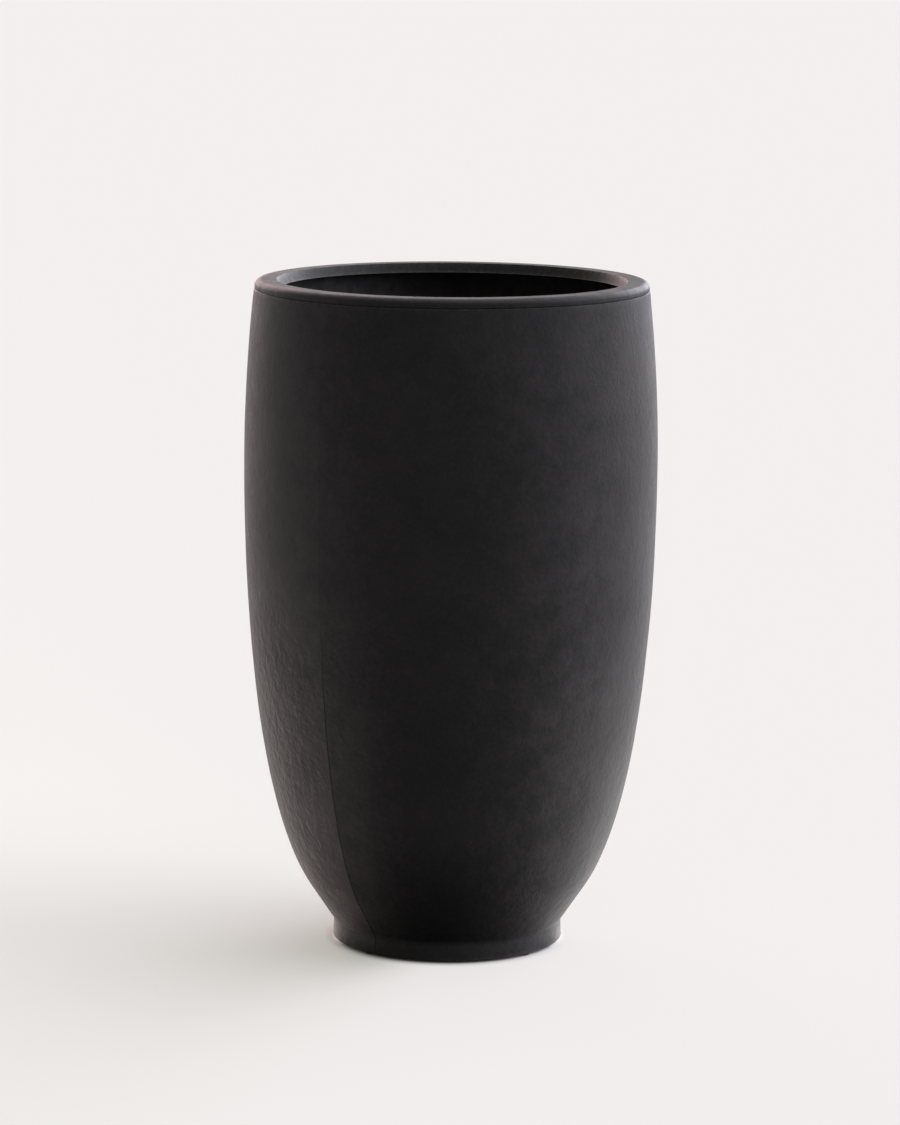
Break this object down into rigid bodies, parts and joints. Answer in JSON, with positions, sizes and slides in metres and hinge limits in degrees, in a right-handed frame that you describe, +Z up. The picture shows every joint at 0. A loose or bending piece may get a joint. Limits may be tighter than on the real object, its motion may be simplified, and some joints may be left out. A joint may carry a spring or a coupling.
{
  "type": "floor planter",
  "caption": "Tall round floor planter of dark fibre cement: bellied body on a narrow foot ring, flat rolled lip, open top, and a drain hole in its base with a rubber plug that lifts out.",
  "frame": {"origin": "on the floor, on the planter's vertical axis, under the middle of its base", "axes": "+Z up along the planter's axis, -Y towards the viewer of the picture, +X to that viewer's right"},
  "size_m": [0.4014, 0.4014, 0.65],
  "materials": {
    "cement": "charcoal black pigmented cement, sealed to a satin, with faint clouds, pinholes and paler worn edges",
    "plug_rubber": "matt black moulded rubber",
    "pad_rubber": "matt dark grey rubber, stuck under the foot ring"
  },
  "bodies": {
    "planter": {"planter_shell": "cement", "floor_pad_1": "pad_rubber", "floor_pad_2": "pad_rubber", "floor_pad_3": "pad_rubber", "floor_pad_4": "pad_rubber"},
    "plug": {"drain_plug": "plug_rubber"}
  },
  "joints": [
    {"name": "plug_lift", "type": "slide", "parent": "planter", "child": "plug", "axis": [0, 0, 1], "range_m": [0, 0.65]}
  ]
}
